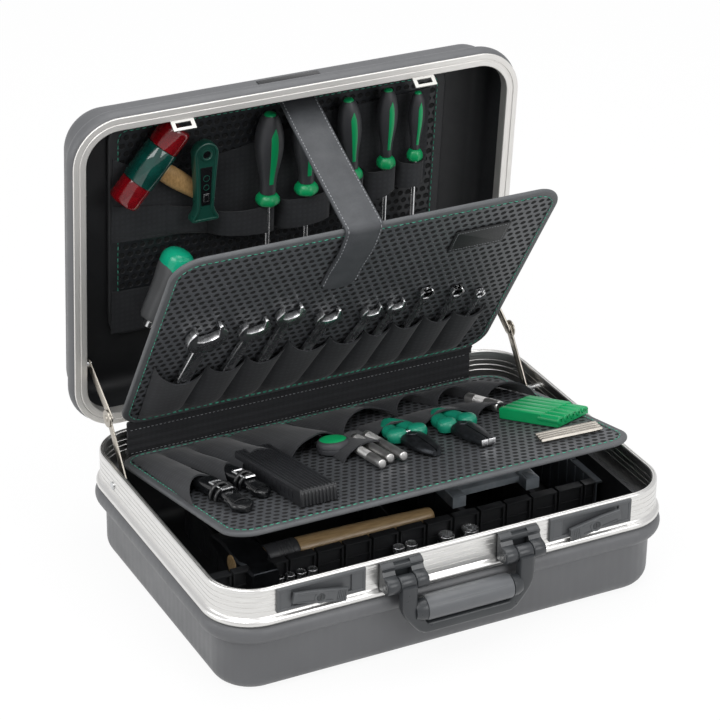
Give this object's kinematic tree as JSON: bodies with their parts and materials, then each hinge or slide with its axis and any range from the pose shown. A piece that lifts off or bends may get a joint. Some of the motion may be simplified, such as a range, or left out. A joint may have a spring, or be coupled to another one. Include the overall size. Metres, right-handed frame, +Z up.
{
  "type": "hard tool case",
  "caption": "Hard-shell tool case standing open, with aluminium frames, two tilting tool boards, a pocketed lid board, fitted hand tools, a carry handle and two latches.",
  "frame": {"origin": "centre of the base's flat underside, on the floor", "axes": "+X to the right along the front, -Y towards the handle and latches, +Z up; millimetre source, lid standing open at 86 degrees"},
  "size_m": [0.491, 0.4432, 0.4555],
  "materials": {
    "base_shell": "textured",
    "base_frame": "brushed",
    "latch_plate_left": "satin",
    "latch_plate_right": "satin",
    "handle_bracket_left": "satin",
    "handle_bracket_right": "satin",
    "handle_pins": "plain",
    "hinge_base_leaves": "plain",
    "hinge_pins": "plain",
    "stay_base_rivets": "plain",
    "spine": "woven",
    "long_divider": "ribbed",
    "cross_dividers": "plain",
    "side_rails": "ribbed",
    "socket_rail": "plain",
    "sockets": "satin",
    "hammer_grip": "plain",
    "hammer_handle": "varnished",
    "hammer_head": "plain",
    "parts_box": "clear",
    "lid_shell": "textured",
    "lid_frame": "satin",
    "name_plate": "plain",
    "strikers": "plain",
    "hinge_lid_leaves": "plain",
    "stay_lid_rivets": "plain",
    "lid_board": "dimpled",
    "lid_pockets": "dimpled",
    "mallet_body": "satin",
    "mallet_faces": "gloss",
    "mallet_handle": "varnished",
    "folding_knife": "satin",
    "driver_handles": "satin",
    "driver_blades": "satin",
    "big_driver": "ribbed",
    "big_driver_cap": "satin",
    "mid_board": "dimpled",
    "mid_pockets": "dimpled",
    "mid_patch": "plain",
    "spanners": "satin",
    "strap": "stitched",
    "low_board": "dimpled",
    "low_pockets": "dimpled",
    "knives": "satin",
    "ribbed_box": "ribbed",
    "tape_measure": "satin",
    "punches": "knurled",
    "side_cutters": "satin",
    "pliers": "satin",
    "torch": "satin",
    "key_holder": "satin",
    "hex_keys": "plain",
    "stay_lower_arms": "plain",
    "stay_upper_arms": "plain",
    "handle_frame": "satin",
    "handle_grip": "ribbed",
    "lever_left": "satin",
    "lever_right": "satin",
    "lock_left": "plain",
    "lock_right": "plain"
  },
  "bodies": {
    "base": {"base_shell": "base_shell", "base_frame": "base_frame", "latch_plate_left": "latch_plate_left", "latch_plate_right": "latch_plate_right", "handle_bracket_left": "handle_bracket_left", "handle_bracket_right": "handle_bracket_right", "handle_pins": "handle_pins", "hinge_base_leaves": "hinge_base_leaves", "hinge_pins": "hinge_pins", "stay_base_rivets": "stay_base_rivets", "spine": "spine", "long_divider": "long_divider", "cross_dividers": "cross_dividers", "side_rails": "side_rails", "socket_rail": "socket_rail", "sockets": "sockets", "hammer_grip": "hammer_grip", "hammer_handle": "hammer_handle", "hammer_head": "hammer_head", "parts_box": "parts_box"},
    "lid": {"lid_shell": "lid_shell", "lid_frame": "lid_frame", "name_plate": "name_plate", "strikers": "strikers", "hinge_lid_leaves": "hinge_lid_leaves", "stay_lid_rivets": "stay_lid_rivets", "lid_board": "lid_board", "lid_pockets": "lid_pockets", "mallet_body": "mallet_body", "mallet_faces": "mallet_faces", "mallet_handle": "mallet_handle", "folding_knife": "folding_knife", "driver_handles": "driver_handles", "driver_blades": "driver_blades", "big_driver": "big_driver", "big_driver_cap": "big_driver_cap"},
    "upper_board": {"mid_board": "mid_board", "mid_pockets": "mid_pockets", "mid_patch": "mid_patch", "spanners": "spanners", "strap": "strap"},
    "lower_board": {"low_board": "low_board", "low_pockets": "low_pockets", "knives": "knives", "ribbed_box": "ribbed_box", "tape_measure": "tape_measure", "punches": "punches", "side_cutters": "side_cutters", "pliers": "pliers", "torch": "torch", "key_holder": "key_holder", "hex_keys": "hex_keys"},
    "stay_lower": {"stay_lower_arms": "stay_lower_arms"},
    "stay_upper": {"stay_upper_arms": "stay_upper_arms"},
    "handle": {"handle_frame": "handle_frame", "handle_grip": "handle_grip"},
    "lever_left": {"lever_left": "lever_left"},
    "lever_right": {"lever_right": "lever_right"},
    "lock_left": {"lock_left": "lock_left"},
    "lock_right": {"lock_right": "lock_right"}
  },
  "joints": [
    {"name": "lid_hinge", "type": "hinge", "parent": "base", "child": "lid", "pos_m": [0, 0.1764, 0.1049], "axis": [1, 0, 0], "range_deg": [0, 86]},
    {"name": "upper_board_hinge", "type": "hinge", "parent": "base", "child": "upper_board", "pos_m": [0, 0.154, 0.122], "axis": [1, 0, 0], "range_deg": [0, 58], "deforming": ["strap"]},
    {"name": "lower_board_hinge", "type": "hinge", "parent": "base", "child": "lower_board", "pos_m": [0, 0.151, 0.0946], "axis": [1, 0, 0], "range_deg": [0, 12.4]},
    {"name": "stay_foot", "type": "hinge", "parent": "base", "child": "stay_lower", "pos_m": [0, 0.098, 0.096], "axis": [1, 0, 0], "range_deg": [0, 108.42]},
    {"name": "stay_top", "type": "hinge", "parent": "lid", "child": "stay_upper", "pos_m": [0, 0.19, 0.184], "axis": [1, 0, 0], "range_deg": [-112.48, 0]},
    {"name": "handle_pivot", "type": "hinge", "parent": "base", "child": "handle", "pos_m": [0, -0.182, 0.094], "axis": [-1, 0, 0], "range_deg": [0, 95]},
    {"name": "lever_left_pivot", "type": "hinge", "parent": "base", "child": "lever_left", "pos_m": [-0.1475, -0.1738, 0.0978], "axis": [0, -1, 0], "range_deg": [0, 10]},
    {"name": "lever_right_pivot", "type": "hinge", "parent": "base", "child": "lever_right", "pos_m": [0.1475, -0.1738, 0.0978], "axis": [0, 1, 0], "range_deg": [0, 10]},
    {"name": "lock_left_turn", "type": "hinge", "parent": "lever_left", "child": "lock_left", "pos_m": [-0.1475, -0.1738, 0.0978], "axis": [0, -1, 0], "range_deg": [0, 90]},
    {"name": "lock_right_turn", "type": "hinge", "parent": "lever_right", "child": "lock_right", "pos_m": [0.1475, -0.1738, 0.0978], "axis": [0, -1, 0], "range_deg": [0, 90]}
  ],
  "couplings": [
    {"joint": "upper_board_hinge", "follows": "lid_hinge", "ratio": 0.67442},
    {"joint": "lower_board_hinge", "follows": "lid_hinge", "ratio": 0.14419},
    {"joint": "stay_foot", "follows": "lid_hinge", "ratio": 1.2605},
    {"joint": "stay_top", "follows": "lid_hinge", "ratio": -1.3077}
  ]
}
